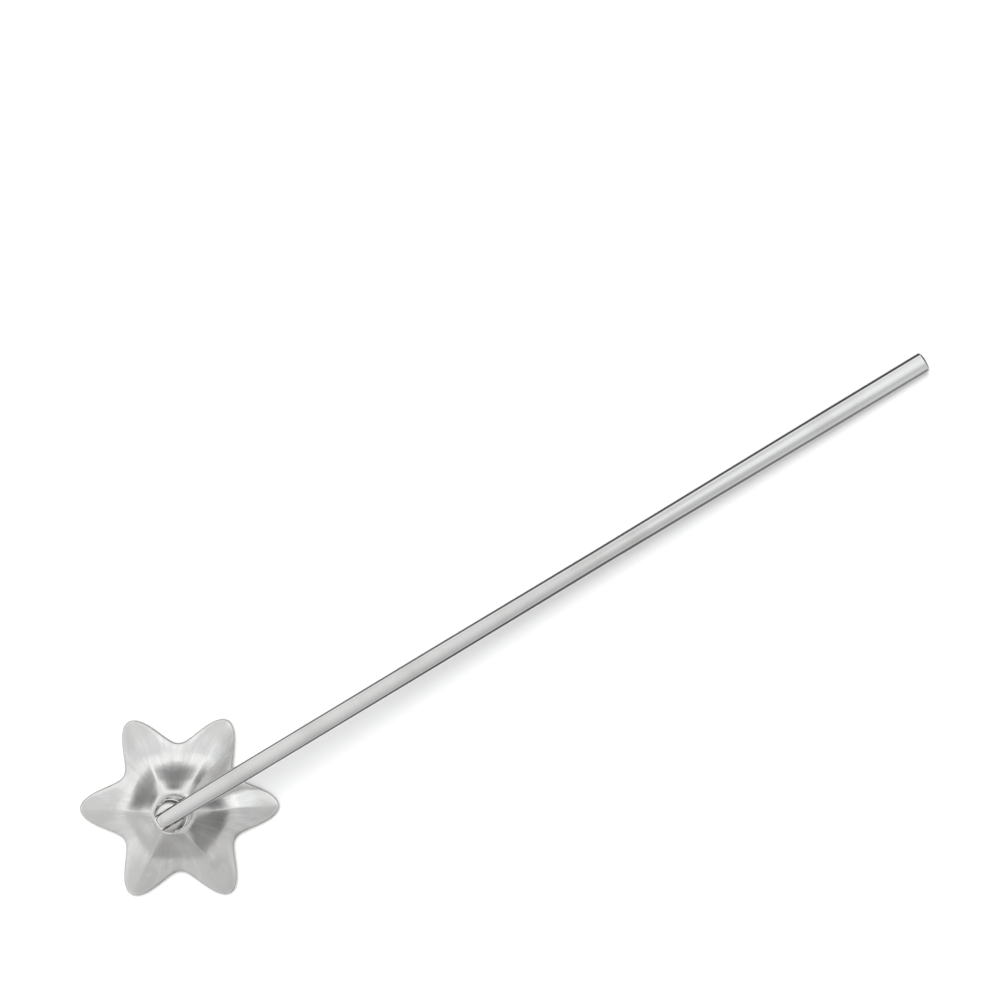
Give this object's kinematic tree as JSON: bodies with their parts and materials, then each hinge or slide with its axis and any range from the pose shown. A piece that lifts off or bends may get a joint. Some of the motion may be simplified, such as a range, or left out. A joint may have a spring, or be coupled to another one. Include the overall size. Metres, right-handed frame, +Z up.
{
  "type": "magic wand",
  "caption": "Star-tipped wand: a slim polished metal handle hinged by a riveted pin to a hollow fluted star bell.",
  "frame": {"origin": "on the resting surface, at the middle of the wand's footprint, which is its bounding box's bottom centre", "axes": "+Z up, out of the bell's crown; +X along the handle from the bell towards the butt end; Y across, along the hinge pin"},
  "size_m": [0.25, 0.0522, 0.0145],
  "materials": {
    "bell": "polished silver-coloured plate",
    "knob": "polished silver-coloured plate",
    "pin": "polished, hammered heads",
    "fastener": "plain bright steel",
    "handle": "polished silver-coloured plate, fine handling marks"
  },
  "bodies": {
    "bell": {"star_bell": "bell", "hinge_knob": "knob", "hinge_pin": "pin", "stud_washer": "fastener", "stud_nut": "fastener"},
    "handle": {"handle_bar": "handle"}
  },
  "joints": [
    {"name": "handle_hinge", "type": "hinge", "parent": "bell", "child": "handle", "pos_m": [-0.1024, 0, 0.0125], "axis": [0, -1, 0], "range_deg": [-15, 203]}
  ]
}
